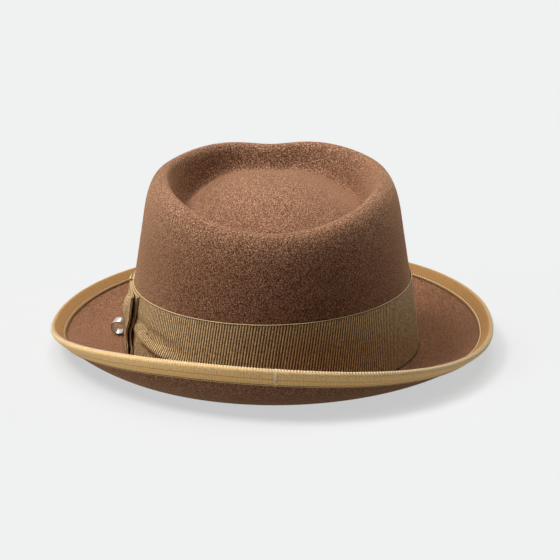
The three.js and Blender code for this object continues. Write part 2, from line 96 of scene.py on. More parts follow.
def add_object(name, data):
    made = bpy.data.objects.new(name, data)
    bpy.context.scene.collection.objects.link(made)
    return made


def make_camera():
    rise, turn = math.radians(CAMERA_RISE), math.radians(CAMERA_TURN)
    level = math.cos(rise)
    away = Vector((math.sin(turn) * level, math.cos(turn) * level, math.sin(rise)))
    side = Vector((0, 0, 1)).cross(away).normalized()
    up = away.cross(side)
    middle = Vector((*CENTRE, BRIM_TOP + LOOK_HEIGHT))
    place = middle + away * CAMERA_DISTANCE
    aim = middle + side * AIM_RIGHT - up * AIM_DOWN
    data = bpy.data.cameras.new("camera")
    data.lens = FOCAL_LENGTH
    data.sensor_width = 36.0
    data.clip_end = 100.0
    camera = add_object("camera", data)
    camera.rotation_mode = "QUATERNION"
    roll = Matrix.Rotation(math.radians(CAMERA_ROLL), 4, "Z").to_quaternion()
    camera.location = place * MM
    camera.rotation_quaternion = (aim - place).to_track_quat("-Z", "Y") @ roll
    bpy.context.scene.camera = camera


SUNS = (
    # name, strength, then softness, height and direction in degrees
    ("key", 3.3, 26.0, 60.0, 82.0),
    ("top", 1.3, 40.0, 88.0, 0.0),
    ("back", 0.8, 34.0, 58.0, -10.0),
    ("left", 0.65, 34.0, 15.0, 112.0),
    ("right", 0.3, 34.0, 20.0, -60.0),
)
WORLD_LIGHT, WORLD_ON_MATT = 0.838, 0.015
FLOOR_GLOW, FLOOR_ON_MATT = 0.553, 0.17
FLOOR_REACH = 12.0


def make_sun(name, strength, softness, rise, turn):
    """A broad soft light from that height and direction; at turn 0 it stands beyond the hat."""
    data = bpy.data.lights.new(name, "SUN")
    data.energy = strength
    data.angle = math.radians(softness)
    lamp = add_object(name, data)
    rise, turn = math.radians(rise), math.radians(turn)
    level = math.cos(rise)
    towards = Vector((math.sin(turn) * level, -math.cos(turn) * level, math.sin(rise)))
    lamp.rotation_mode = "QUATERNION"
    lamp.rotation_quaternion = towards.to_track_quat("Z", "Y")


def light_by_ray(tree, socket, strength, strength_for_matt):
    """Sets a light's strength, and its strength on matt surfaces, as a flag would."""
    matt = node(tree, "ShaderNodeLightPath").outputs["Is Diffuse Ray"]
    inputs = {"Value": matt, "To Min": strength, "To Max": strength_for_matt}
    tree.links.new(node(tree, "ShaderNodeMapRange", inputs).outputs["Result"], socket)


def make_world():
    world = bpy.data.worlds.new("studio")
    world.use_nodes = True
    background = world.node_tree.nodes["Background"]
    background.inputs["Color"].default_value = (1.0, 1.0, 1.0, 1.0)
    light_by_ray(world.node_tree, background.inputs["Strength"], WORLD_LIGHT, WORLD_ON_MATT)
    bpy.context.scene.world = world
    bpy.context.scene.view_settings.view_transform = "Standard"


def make_floor():
    reach = FLOOR_REACH
    corners = [(-reach, -reach, 0), (reach, -reach, 0), (reach, reach, 0), (-reach, reach, 0)]
    mesh = bpy.data.meshes.new("floor")
    mesh.from_pydata(corners, [], [(0, 1, 2, 3)])
    floor = add_object("floor", mesh)
    material, tree, shader = new_material(
        "pale_floor", 0.9, Base_Color=(0.2, 0.2, 0.2, 1.0), Specular_IOR_Level=0.0,
        Emission_Color=(0.985, 1.0, 0.998, 1.0),
    )
    light_by_ray(tree, shader.inputs["Emission Strength"], FLOOR_GLOW, FLOOR_ON_MATT)
    mesh.materials.append(material)


# ---- surfaces of the hat ----
# Angles are arrays of one number for each place round the oval; the functions give arrays
# of points, one row for each angle.

def around(angle, sizes):
    side, back, front = sizes
    across = np.cos(angle) ** 2
    return side * across + np.where(np.sin(angle) > 0, back, front) * (1 - across)


def off_oval(angle, outward, z):
    """Points at a distance outside the head oval, along its normal, one row for each angle."""
    c, s = np.cos(angle), np.sin(angle)
    nx, ny = c / HALF_WIDTH, s / HALF_LENGTH
    length = np.hypot(nx, ny)
    x = (HALF_WIDTH * c)[:, None] + (nx / length)[:, None] * outward
    y = (HALF_LENGTH * s)[:, None] + (ny / length)[:, None] * outward
    return np.stack(np.broadcast_arrays(x, y, z), -1)


def hump(value, middle, spread):
    """A smooth bump of height 1."""
    return np.exp(-(((value - middle) / spread) ** 2))


def smoothstep(low, high, value):
    share = np.clip((value - low) / (high - low), 0, 1)
    return share**2 * (3 - 2 * share)


def bezier(points, t):
    a, b, c, d = (p[..., None, :] for p in points)
    t = t[:, None]
    return (1 - t) ** 3 * a + 3 * (1 - t) ** 2 * t * b + 3 * (1 - t) * t**2 * c + t**3 * d


def pair(x, y):
    return np.stack(np.broadcast_arrays(x, y), -1).astype(float)


def crown_curves(angle):
    """The crown's section at each angle as (inset, height) handles: wall, roll, gutter side."""
    away = np.arctan2(np.cos(angle), -np.sin(angle))
    pinch = hump(away, 0, NOTCH_SPREAD)
    inset = around(angle, CREST_INSET) + NOTCH_INWARD * pinch
    height = around(angle, CREST) - NOTCH_DROP * pinch
    shoulder = pair(inset - ROLL_WIDTH, height - ROLL_HEIGHT)
    step = around(angle, GUTTER_STEP)
    floor = height - around(angle, GUTTER_DROP)
    reach = WALL_REACH * shoulder[:, 1]
    lean = pair(LEAN_SHOULDER, reach)
    swing = lean / np.linalg.norm(lean, axis=1, keepdims=True) * ROLL_HEIGHT * HANDLE
    crest = pair(inset, height)
    wall = (np.zeros_like(crest), pair(LEAN_BASE, reach), shoulder - lean, shoulder)
    roll = (shoulder, shoulder + swing, pair(inset - HANDLE * ROLL_WIDTH, height), crest)
    over = pair(inset + HANDLE * step, height)
    gutter = (crest, over, pair(inset + 0.5 * step, floor), pair(inset + step, floor))
    return wall, roll, gutter


def off_wall(angle, z, proud):
    """Points standing off the crown's wall: proud is positive outside, negative inside. z and
    proud may be single numbers."""
    samples = bezier(crown_curves(angle)[0], np.linspace(0, 1, 40))
    z, proud = np.broadcast_arrays(*np.atleast_2d(z, proud))
    z = np.broadcast_to(z, (len(angle), z.shape[-1]))
    inset = np.array([np.interp(row, s[:, 1], s[:, 0]) for row, s in zip(z, samples)])
    return off_oval(angle, proud - inset, z)


def off_brim(angle, along, lift):
    """Points of the brim: along from the crown, lift above the top surface. Both (angles, n)."""
    back_left = np.where(np.sin(angle) > 0, CURL_BACK_LEFT * np.sin(2 * angle), 0)
    slope = around(angle, BRIM_CURL) + back_left + CURL_LEFT * np.cos(angle)
    bend = (slope / (around(angle, BRIM_WIDTH) - BRIM_FLAT))[:, None]
    along, lift = np.broadcast_arrays(along, lift)
    turn = bend * np.maximum(along - BRIM_FLAT, 0)
    outward = np.minimum(along, BRIM_FLAT) + np.sin(turn) / bend - lift * np.sin(turn)
    return off_oval(angle, outward, (1 - np.cos(turn)) / bend + lift * np.cos(turn))


def evenly(count, start=0.0):
    return start + np.linspace(0, 2 * math.pi, count, endpoint=False)


def arc_length(angle, outward):
    """Length round the oval at each angle, from the first one, at that distance outside it."""
    points = off_oval(angle, outward, 0.0)[:, 0, :2]
    return np.r_[0, np.cumsum(np.linalg.norm(np.diff(points, axis=0), axis=1))]


def soft_noise(points, wavelength, seed):
    """A smooth irregular field between about -1 and 1, from seven waves in fixed directions."""
    random = np.random.default_rng(seed)
    total = np.zeros(points.shape[:-1])
    for _ in range(7):
        direction = random.normal(size=3)
        pitch = 2 * math.pi / wavelength * random.uniform(0.6, 1.4)
        direction *= pitch / np.linalg.norm(direction)
        total += np.sin(points @ direction + random.uniform(0, 2 * math.pi))
    return total / 3.5


def soft_along(length, wavelength, seed):
    """soft_noise along a line, as a column."""
    line = np.stack([length, 0 * length, 0 * length], -1)
    return soft_noise(line, wavelength, seed)[:, None]


# ---- meshes ----

def make_piece(name, points, faces, material, node_name, weave=None, body="hat"):
    """A mesh object from points in hat millimetres, in place of that node of the part. weave
    has (along, across, to the edge) for each point."""
    corners = np.array([face if len(face) == 4 else [*face, face[2]] for face in faces])
    a, b, c, d = (points[corners[:, i]] for i in range(4))
    volume = np.einsum("ij,ij->i", a, np.cross(b, c) + np.cross(c, d)).sum()
    if volume < 0:
        faces = [face[::-1] for face in faces]
    placed = (points + (*CENTRE, BRIM_TOP)) * MM
    mesh = bpy.data.meshes.new(name)
    mesh.from_pydata(placed.tolist(), [], faces)
    if weave is not None:
        layer = mesh.attributes.new("weave", "FLOAT_VECTOR", "POINT")
        layer.data.foreach_set("vector", np.asarray(weave, np.float32).ravel())
    mesh.shade_smooth()
    mesh.materials.append(material)
    piece = add_object(name, mesh)
    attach(piece, body)
    if node_name:
        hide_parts(node_name)
    return piece


def quads(rows, columns, close_rows, close_columns, offset=0):
    """Faces of a grid of points numbered row by row, as a list."""
    r = np.arange(rows if close_rows else rows - 1)[:, None]
    c = np.arange(columns if close_columns else columns - 1)[None, :]
    after, beside = (r + 1) % rows, (c + 1) % columns
    here, there = r * columns, after * columns
    corners = np.broadcast_arrays(here + c, here + beside, there + beside, there + c)
    return (np.stack(corners, -1).reshape(-1, 4) + offset).tolist()


def fan(ring):
    """Triangles that close a ring of points, from its first one."""
    return [[ring[0], ring[i], ring[i + 1]] for i in range(1, len(ring) - 1)]


def capped_tube(rows, columns, start=0):
    """Faces of an open tube of points, closed with a fan at each end."""
    last = start + (rows - 1) * columns
    faces = quads(rows, columns, False, True, start)
    faces += fan(range(start, start + columns)[::-1])
    return faces + fan(range(last, last + columns))


def ring_piece(name, parts, material, node_name, weave=None, body="hat"):
    """A ring-shaped solid. parts are (places round, some points of the closed section, 3), and
    weave has the same parts."""
    grid = np.concatenate(parts, axis=1)
    faces = quads(*grid.shape[:2], True, True)
    if weave is not None:
        weave = np.concatenate(weave, axis=1).reshape(-1, 3)
    points = grid.reshape(-1, 3)
    return make_piece(name, points, faces, material, node_name, weave, body)


def bowl_piece(name, parts, poles, material, node_name):
    """A bowl-shaped solid: parts are (places round, some points from pole to pole, 3)."""
    grid = np.concatenate(parts, axis=1)
    count, rows = grid.shape[:2]
    points = np.concatenate([grid.reshape(-1, 3), poles])
    faces = quads(count, rows, True, False)
    top, low = count * rows, count * rows + 1
    for here in range(count):
        beside = (here + 1) % count
        faces.append([top, here * rows, beside * rows])
        faces.append([low, beside * rows + rows - 1, here * rows + rows - 1])
    return make_piece(name, points, faces, material, node_name)


def tube_points(path, radius, sides, closed):
    """Points of a round tube along a path of points, as a grid (path, sides, 3)."""
    ahead = np.roll(path, -1, 0) if closed else np.vstack([path[1:], path[-1:]])
    behind = np.roll(path, 1, 0) if closed else np.vstack([path[:1], path[:-1]])
    along = ahead - behind
    along /= np.linalg.norm(along, axis=1, keepdims=True)
    side = np.cross(along, (0.0, 0.0, 1.0))
    weak = np.linalg.norm(side, axis=1) < 0.3
    side[weak] = np.cross(along[weak], (0.0, 1.0, 0.0))
    side /= np.linalg.norm(side, axis=1, keepdims=True)
    up = np.cross(side, along)
    turn = evenly(sides)
    radius = np.broadcast_to(radius, (len(path),))[:, None, None]
    c, s = np.cos(turn)[None, :, None], np.sin(turn)[None, :, None]
    return path[:, None] + (side[:, None] * c + up[:, None] * s) * radius


# ---- materials ----

def node(tree, kind, inputs=None, **settings):
    made = tree.nodes.new(kind)
    for key, value in settings.items():
        setattr(made, key, value)
    for key, value in (inputs or {}).items():
        if isinstance(value, bpy.types.NodeSocket):
            tree.links.new(value, made.inputs[key])
        else:
            made.inputs[key].default_value = value
    return made


def maths(tree, operation, a, b=0.0):
    return node(tree, "ShaderNodeMath", {0: a, 1: b}, operation=operation).outputs[0]


def times(tree, a, b):
    return maths(tree, "MULTIPLY", a, b)


def plus(tree, a, b):
    return maths(tree, "ADD", a, b)


def stretched(tree, place, scale):
    """A place with its axes scaled, so that a noise is drawn out along some of them."""
    return node(tree, "ShaderNodeMapping", {"Vector": place, "Scale": scale}).outputs[0]


def noise(tree, place, scale, detail=2.0, roughness=0.5):
    inputs = {"Vector": place, "Scale": scale, "Detail": detail, "Roughness": roughness}
    return node(tree, "ShaderNodeTexNoise", inputs).outputs["Fac"]


def ramp(tree, value, *stops):
    """Colour by value: stops are (position, colour or level of grey)."""
    made = node(tree, "ShaderNodeValToRGB", {"Fac": value})
    elements = made.color_ramp.elements
    while len(elements) < len(stops):
        elements.new(0.5)
    for element, (position, colour) in zip(elements, stops):
        element.position = position
        rgb = colour if isinstance(colour, tuple) else (colour,) * 3
        element.color = (*rgb, 1.0)
    return made.outputs["Color"]


def mix(tree, share, a, b, blend="MIX"):
    a, b = (c if isinstance(c, bpy.types.NodeSocket) else (*c, 1.0) for c in (a, b))
    inputs = {0: share, 6: a, 7: b}
    return node(tree, "ShaderNodeMix", inputs, data_type="RGBA", blend_type=blend).outputs[2]


def bump(tree, height, distance, strength=1.0, normal=None):
    inputs = {"Height": height, "Distance": distance, "Strength": strength}
    if normal is not None:
        inputs["Normal"] = normal
    return node(tree, "ShaderNodeBump", inputs).outputs["Normal"]


def new_material(name, roughness, **sockets):
    """(material, tree, shader), with the shader's own sockets set by name."""
    material = bpy.data.materials.new(name)
    material.use_nodes = True
    tree = material.node_tree
    shader = tree.nodes["Principled BSDF"]
    shader.inputs["Roughness"].default_value = roughness
    for key, value in sockets.items():
        shader.inputs[key.replace("_", " ")].default_value = value
    return material, tree, shader


def connect(tree, shader, colour, normal, roughness=None):
    tree.links.new(colour, shader.inputs["Base Color"])
    tree.links.new(normal, shader.inputs["Normal"])
    if roughness is not None:
        tree.links.new(roughness, shader.inputs["Roughness"])


def object_place(tree):
    return node(tree, "ShaderNodeTexCoord").outputs["Object"]


def weave_place(tree):
    """The millimetres that make_piece stored: all three, then along, across and to the edge."""
    stored = node(tree, "ShaderNodeAttribute", attribute_name="weave").outputs["Vector"]
    parts = node(tree, "ShaderNodeSeparateXYZ", {"Vector": stored})
    return stored, parts.outputs["X"], parts.outputs["Y"], parts.outputs["Z"]


def felt_material():
    """Short wool nap: dark depths between pale fibre ends, coarser on the upper crown, which is
    also painted paler there, a painted highlight of the light from above.
    """
    material, tree, shader = new_material(
        "wool_felt", 0.95, Specular_IOR_Level=0.05, Sheen_Weight=0.5, Sheen_Roughness=0.4,
        Sheen_Tint=(1.0, 0.6, 0.34, 1.0),
    )
    place = object_place(tree)
    height = node(tree, "ShaderNodeSeparateXYZ", {"Vector": place}).outputs["Z"]
    # rises from 0 to 1 between 73 and 100 mm above the floor; it coarsens the grain there and
    # paints the upper crown paler, a painted highlight
    upper = ramp(tree, times(tree, height, 9.0), (0.66, 0.0), (0.9, 1.0))
    fibres = noise(tree, place, 1900.0, 1.0, 0.5)
    tufts = noise(tree, place, 1250.0, 2.0, 0.6)
    depth = plus(tree, times(tree, fibres, 0.75), times(tree, tufts, 0.25))
    depth = mix(tree, times(tree, upper, 0.5), depth, tufts)
    depths, body, tips = (0.035, 0.013, 0.007), (0.18, 0.083, 0.046), (0.56, 0.32, 0.2)
    speckle = ramp(tree, depth, (0.36, depths), (0.5, body), (0.64, tips))
    patches = noise(tree, place, 28.0, 2.0)
    broad = ramp(tree, patches, (0.3, (0.78, 0.7, 0.65)), (0.7, (0.88, 0.8, 0.74)))
    # painted highlight: the upper crown made paler, as the light from above falls on it, over the
    # random patches
    patches_and_top_highlight = mix(tree, upper, broad, (1.2, 1.22, 1.2))
    nap = bump(tree, tufts, 0.00015, 0.6)
    colour = mix(tree, 1.0, speckle, patches_and_top_highlight, "MULTIPLY")
    connect(tree, shader, colour, bump(tree, fibres, 0.0004, 1.0, nap))
    return material


def folded_light_and_shade(tree, colour, ribs, share):
    """Painted light and shade of a ribbon folded over an edge. share is 0 at its top edge, 0.5
    at the fold and 1 at its under edge. The top face is painted darker as painted shade, the
    fold's rib tops get a painted highlight with painted shade in the dips between them, and a
    thin dark line along the under face is painted shade of a crease."""
    # painted shade: the top face darker than the fold and the under face
    face = ramp(
        tree, share, (0.38, (0.32, 0.25, 0.16)), (0.45, 0.5), (0.5, 0.93),
        (0.7, 0.9), (0.84, (0.92, 0.86, 0.72)),
    )
    # painted shade of a crease: a thin dark line along the under face
    crease = ramp(tree, share, (0.785, 1.0), (0.796, (0.4, 0.3, 0.2)), (0.808, 1.0))
    face = mix(tree, 1.0, face, crease, "MULTIPLY")
    fold = ramp(tree, share, (0.44, 0.0), (0.47, 1.0), (0.51, 1.0), (0.56, 0.0))
    tops = times(tree, plus(tree, ribs, 1.0), 0.5)
    # painted shade in the dips between the fold's ribs
    hollow_shade = mix(tree, times(tree, fold, 0.95), colour, (0.16, 0.09, 0.03))
    # painted highlight on the fold's rib tops
    worn = mix(tree, times(tree, fold, tops), hollow_shade, (1.0, 0.8, 0.52))
    return mix(tree, 1.0, worn, face, "MULTIPLY")


def ribbon_material(name, colours, pitch, ribbed, depth, sheen, full_width=None):
    """Grosgrain: ribs across the ribbon, crossed by fine warp threads, with painted light and
    shade: rib tops painted lighter and the dips between them darker, a painted highlight along
    each edge and painted shade in a narrow channel just inside it. colours are the dark, the
    base and the light one. full_width is given for a ribbon folded along its middle, which also
    gets painted light and shade across its fold."""
    dark, base, light = colours
    material, tree, shader = new_material(
        name, 0.62, Specular_IOR_Level=0.2, Sheen_Weight=sheen, Sheen_Roughness=0.35,
        Sheen_Tint=(*light, 1.0),
    )
    stored, along, across, to_edge = weave_place(tree)
    ribs = maths(tree, "SINE", times(tree, along, 2 * math.pi / pitch))
    warp = maths(tree, "SINE", times(tree, across, 2 * math.pi / WARP_PITCH))
    uneven = noise(tree, stored, 1.6, 3.0, 0.65)
    streaks = noise(tree, stretched(tree, stored, (0.9, 0.06, 1.0)), 1.0, 3.0)
    # painted light and shade: the ribs and warp threads coloured lighter on their tops and darker
    # in the dips between them
    painted_rib_shade = plus(tree, times(tree, ribs, ribbed), times(tree, warp, 0.05))
    streaked = times(tree, maths(tree, "SUBTRACT", streaks, 0.5), 0.5)
    tone = plus(tree, plus(tree, painted_rib_shade, uneven), streaked)
    weave_with_rib_shade = ramp(tree, tone, (0.25, dark), (0.5, base), (0.78, light))
    # painted highlight along each edge of a flat ribbon (a folded one keeps its base colour there),
    # and painted shade in a narrow channel just inside it
    selvedge_and_highlight = ramp(tree, to_edge, (0.0, 1.0), (0.22, 1.0), (0.3, 0.0))
    groove_shade = ramp(tree, to_edge, (0.24, 1.0), (0.34, 0.2), (0.7, 0.3), (0.9, 1.0))
    edge = base if full_width else tuple(0.55 * c for c in light)
    colour = mix(tree, selvedge_and_highlight, mix(tree, 1.0, weave_with_rib_shade, groove_shade, "MULTIPLY"), edge)
    if full_width:
        colour = folded_light_and_shade(tree, colour, ribs, maths(tree, "DIVIDE", across, full_width))
    threads = bump(tree, plus(tree, warp, uneven), 0.00006, 0.6)
    connect(tree, shader, colour, bump(tree, ribs, depth, 1.0, threads))
    return material


def plain_material(name, roughness, sheen, grain, stops, relief):
    """One noise for colour and relief: grain is its scale and detail, relief is for bump."""
    material, tree, shader = new_material(name, roughness, Sheen_Weight=sheen)
    tone = noise(tree, object_place(tree), *grain)
    connect(tree, shader, ramp(tree, tone, *stops), bump(tree, tone, *relief))
    return material


def thread_material(name, light):
    stops = (0.3, tuple(0.55 * c for c in light)), (0.65, light)
    return plain_material(name, 0.55, 0.3, (2600.0, 2.0), stops, (0.0001, 0.8))


def silver_material():
    material, tree, shader = new_material("polished_ring", 0.2, Metallic=0.88)
    drawn = stretched(tree, object_place(tree), (1.0, 0.1, 1.0))
    scratches = noise(tree, drawn, 3500.0, 3.0)
    colour = ramp(tree, scratches, (0.3, (0.58, 0.58, 0.6)), (0.7, (0.64, 0.64, 0.66)))
    roughness = ramp(tree, scratches, (0.3, 0.12), (0.75, 0.18))
    connect(tree, shader, colour, bump(tree, scratches, 0.000003, 0.3), roughness)
    return material


def leather_material():
    material, tree, shader = new_material("sweatband_leather", 0.45, Specular_IOR_Level=0.45)
    place = object_place(tree)
    inputs = {"Vector": place, "Scale": 900.0}
    cells = node(tree, "ShaderNodeTexVoronoi", inputs, feature="DISTANCE_TO_EDGE")
    grain = ramp(tree, cells.outputs["Distance"], (0.0, 0.0), (0.12, 1.0))
    worn = noise(tree, place, 60.0, 4.0)
    colour = ramp(tree, worn, (0.3, (0.075, 0.034, 0.018)), (0.7, (0.15, 0.07, 0.036)))
    roughness = ramp(tree, worn, (0.3, 0.38), (0.7, 0.55))
    pores = bump(tree, noise(tree, place, 2500.0, 2.0), 0.00005, 0.5)
    normal = bump(tree, grain, 0.00012, 0.6, pores)
    connect(tree, shader, mix(tree, 0.25, colour, grain, "MULTIPLY"), normal, roughness)
    return material


def satin_material():
    material, tree, shader = new_material(
        "satin_lining", 0.32, Specular_IOR_Level=0.55, Anisotropic=0.5, Sheen_Weight=0.15,
    )
    place = object_place(tree)
    threads = noise(tree, stretched(tree, place, (1.0, 1.0, 0.12)), 2600.0, 2.0)
    moire = noise(tree, place, 45.0, 3.0)
    colour = ramp(tree, moire, (0.3, (0.2, 0.125, 0.068)), (0.7, (0.31, 0.2, 0.115)))
    weave = ramp(tree, threads, (0.3, 0.7), (0.7, 1.0))
    creases = bump(tree, noise(tree, place, 90.0, 3.0), 0.0006, 0.35)
    normal = bump(tree, threads, 0.00004, 0.5, creases)
    connect(tree, shader, mix(tree, 0.3, colour, weave, "MULTIPLY"), normal)
    return material


RIB_PITCH, RIB_SLANT = 1.75, -0.16
WARP_PITCH = 0.42
BINDING_RIB = 1.8
BINDING_FULL_WIDTH = 19.4
FELT_LOOK = felt_material()
BAND_LOOK = ribbon_material(
    "grosgrain_band", ((0.035, 0.016, 0.006), (0.26, 0.147, 0.052), (0.95, 0.66, 0.33)),
    RIB_PITCH, ribbed=0.24, depth=0.0001, sheen=0.03,
)
BINDING_LOOK = ribbon_material(
    "grosgrain_binding", ((0.6, 0.31, 0.1), (1.0, 0.64, 0.27), (1.0, 0.78, 0.42)),
    BINDING_RIB, ribbed=0.04, depth=0.00003, sheen=0.0, full_width=BINDING_FULL_WIDTH,
)
TAN_THREAD = thread_material("tan_thread", (0.9, 0.72, 0.45))
PALE_THREAD = thread_material("pale_thread", (1.0, 0.94, 0.8))
BROWN_THREAD = thread_material("brown_thread", (0.2, 0.115, 0.06))
SILVER = silver_material()
LEATHER = leather_material()
SATIN = satin_material()
TAPE_LOOK = plain_material(
    "cotton_tape", 0.85, 0.2, (2200.0, 2.0),
    ((0.3, (0.055, 0.033, 0.018)), (0.7, (0.12, 0.075, 0.045))), (0.0001, 0.7),
)
REED_LOOK = plain_material(
    "reed_plastic", 0.4, 0.0, (300.0, 3.0),
    ((0.3, (0.58, 0.54, 0.44)), (0.7, (0.72, 0.68, 0.58))), (0.00005, 0.4),
)


# ---- felt body ----

def inset_rows(handles, t, depth):
    """Points of a curve at t, moved inwards by depth, as (inset, height)."""
    here = bezier(handles, t)
    small = 1e-3
    tangent = bezier(handles, np.minimum(t + small, 1)) - bezier(handles, np.maximum(t - small, 0))
    tangent /= np.linalg.norm(tangent, axis=-1, keepdims=True)
    return here + depth * np.stack([tangent[..., 1], -tangent[..., 0]], -1)


def dome_height(share, rim_height, depth):
    """Height of the dome, a share of the way from the gutter in to the crown's centre."""
    left = 1 - np.clip(share / DOME_EDGE, 0, 1)
    return rim_height + (DOME_TOP - depth - rim_height) * (1 - left**DOME_ROUND)


def crown_rows(angle, depth, count):
    """The crown from near its centre out to its base, moved inwards by depth."""
    wall, roll, gutter = crown_curves(angle)
    back = np.linspace(1, 0, count)
    parts = ((gutter, back), (roll, back[1:]), (wall, back[1:-1]))
    section = np.concatenate([inset_rows(curve, t, depth) for curve, t in parts], axis=1)
    rows = off_oval(angle, -section[..., 0], section[..., 1])
    rim = rows[:, :1]
    run = np.hypot(rim[..., 0], rim[..., 1])
    share = np.linspace(0.985, 0.02, 2 * count)[None, :]
    step = 0.005
    low, high = (dome_height(share + near, rim[..., 2], depth) for near in (-step, step))
    sink = depth * (np.hypot(1, (high - low) / (2 * step * run)) - 1)
    height = dome_height(share, rim[..., 2], depth) - sink
    dome = np.stack([rim[..., 0] * (1 - share), rim[..., 1] * (1 - share), height], -1)
    return np.concatenate([dome, rows], axis=1)


def felt_body():
    angle = evenly(360)
    width = around(angle, BRIM_WIDTH)[:, None]
    reach = BRIM_FLAT + (width - BRIM_FLAT) * np.linspace(0.04, 1, 30)[None, :]
    flat = np.broadcast_to(np.linspace(BREAK_RADIUS, BRIM_FLAT, 4), (len(angle), 4))
    along = np.concatenate([flat, reach], axis=1)
    turn = np.linspace(0.15, math.pi - 0.15, 7)[None, :]
    lift = -FELT / 2 + FELT / 2 * np.cos(turn)
    edge = off_brim(angle, width + EDGE_BULGE * np.sin(turn), lift)
    bend = np.linspace(0.5 * math.pi, 0, 6)[None, 1:-1]
    outer_break, inner_break = (
        off_oval(angle, BREAK_RADIUS - size * np.cos(curve), BREAK_RADIUS - size * np.sin(curve))
        for size, curve in ((BREAK_RADIUS, bend[:, ::-1]), (BREAK_RADIUS + FELT, bend))
    )
    crown, inside = crown_rows(angle, 0, 22), crown_rows(angle, FELT, 12)[:, ::-1]
    top, under = off_brim(angle, along, 0.0), off_brim(angle, along[:, ::-1], -FELT)
    rows = [crown, outer_break, top, edge, under, inner_break, inside]
    grid = np.concatenate(rows, axis=1)
    # only the crown is a little uneven
    sway = soft_noise(grid, 55.0, 3) * np.clip(grid[..., 2] / 30, 0, 1)
    sway[:, crown.shape[1] : -inside.shape[1]] = 0
    grid = grid + FELT_SWAY * sway[..., None] * (1.0, 1.0, 0.5)
    poles = [(0, 0, DOME_TOP), (0, 0, DOME_TOP - FELT)]
    bowl_piece("hat_felt", [grid], poles, FELT_LOOK, "felt_body")


# ---- ribbon and thread helpers ----

STITCH_STEPS, STITCH_RADIUS = 7, 0.2
STITCH_SHARE = np.linspace(-0.36, 0.36, STITCH_STEPS)


def whole_pitches(along, total, pitch):
    """Lengths round a ring, stretched a little so that a whole number of ribs fits."""
    return along * round(total / pitch) * pitch / total


def ring_length(angle, outward):
    closed = np.append(angle, angle[0] + 2 * math.pi)
    lengths = arc_length(closed, outward)
    return lengths[:-1], lengths[-1]


def weave_of(along, across, low, high):
    """Weave numbers for a strip that lies between two heights or edges."""
    along, across = np.broadcast_arrays(along, across)
    to_edge = np.minimum(across - low, high - across)
    return np.stack([along, across, np.maximum(to_edge, 0)], -1)


def stitch_angles(outward, pitch, start):
    """Angles of a row of stitches round the oval, point by point, and their number."""
    count = round(ring_length(evenly(720), outward)[1] / pitch)
    middle = evenly(count, start)
    return (middle[:, None] + STITCH_SHARE[None, :] * 2 * math.pi / count).ravel(), count


def thread_piece(name, paths, radius, material, node_name):
    """Separate pointed stitches in one piece, each of STITCH_STEPS points."""
    steps, sides = STITCH_STEPS, 6
    taper = np.sqrt(np.clip(np.sin(np.linspace(0.06, math.pi - 0.06, steps)), 0, 1))
    points, faces = [], []
    for number, path in enumerate(paths.reshape(-1, steps, 3)):
        points.append(tube_points(path, radius * taper, sides, False).reshape(-1, 3))
        faces += capped_tube(steps, sides, number * steps * sides)
    make_piece(name, np.concatenate(points), faces, material, node_name)


def zigzag_turns(count, half):
    """Share along a zigzag seam at the back, and angle, at each of its turns."""
    lanes = np.where(np.arange(count) % 2, half, -half)
    return np.linspace(0, 1, count), math.pi / 2 + lanes / HALF_WIDTH


def zigzag_stitches(knots, bow):
    """Paths from each knot to the next, bowed along a direction."""
    share = np.linspace(0, 1, STITCH_STEPS)[None, :, None]
    straight = knots[:-1, None] * (1 - share) + knots[1:, None] * share
    return straight + np.sin(share * math.pi) * bow


def run_along(s, p):
    """Length along a section, from its first point."""
    step = np.hypot(np.diff(s, axis=0, prepend=s[:1]), np.diff(p, axis=0, prepend=p[:1]))
    return np.cumsum(step, axis=0)


def push_off(s, p, half_thick):
    """Offsets that move a closed section square to itself by half its thickness."""
    ds = np.roll(s, -1, 0) - np.roll(s, 1, 0)
    dp = np.roll(p, -1, 0) - np.roll(p, 1, 0)
    size = np.hypot(ds, dp)
    return -dp / size * half_thick, ds / size * half_thick


# ---- brim binding ----

BINDING_FACE = 0.6
SEAM_DEPTH = 0.22
BINDING_BEAD, BINDING_PUFF = 0.14, 0.15
NOSE_START, NOSE_REACH = -1.0, 2.2


def binding_outline():
    """The folded ribbon's section as (along from the felt's edge, lift, points on its outside)."""
    face = np.linspace(-BINDING_WIDTH, NOSE_START, 22)
    seam = SEAM_DEPTH * hump(face + SEAM_IN, 0.3, 0.45)
    bead = BINDING_BEAD * hump(face + BINDING_WIDTH, 0.3, 0.3)
    puff = BINDING_PUFF * smoothstep(-SEAM_IN + 0.6, -2.5, face)
    top = BINDING_FACE - seam + bead + puff
    turn = np.linspace(0, math.pi, 13)[1:-1]
    nose_out = NOSE_START + NOSE_REACH * np.sin(turn)
    nose_lift = -FELT / 2 + (FELT / 2 + BINDING_FACE + BINDING_PUFF) * np.cos(turn)
    along = np.concatenate([face, nose_out, face[::-1]])
    lift = np.concatenate([top, nose_lift, -FELT - top[::-1]])
    inner = np.array([-BINDING_WIDTH, -2.0, 0.1, 0.82])
    inner_top = np.array([-0.7, 0.15, 0.2, 0.2])
    inner_under = np.array([-FELT - 0.2, -FELT - 0.2, -FELT - 0.15, -1.7])
    lift = np.concatenate([lift, inner_under, inner_top])
    return np.concatenate([along, inner, inner[::-1]]), lift, len(along)


